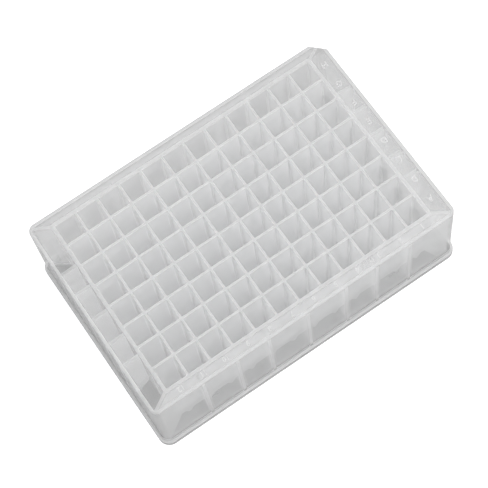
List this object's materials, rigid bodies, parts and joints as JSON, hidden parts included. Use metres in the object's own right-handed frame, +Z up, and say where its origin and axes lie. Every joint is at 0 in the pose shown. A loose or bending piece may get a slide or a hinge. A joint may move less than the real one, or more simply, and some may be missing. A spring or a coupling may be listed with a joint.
{
  "type": "well plate",
  "caption": "Deep-well plate of translucent polypropylene with square, round-bottomed wells, a ribbed skirt, a stacking flange and one notched corner.",
  "frame": {"origin": "middle of the footprint, on the plane that the flange rests on", "axes": "+X along the long side from column 1 to column 12, +Y from row H to row A, +Z up out of the wells"},
  "size_m": [0.1274, 0.085, 0.0404],
  "materials": {
    "polypropylene": "translucent, natural"
  },
  "bodies": {
    "root": {"well_plate": "polypropylene"}
  },
  "joints": []
}
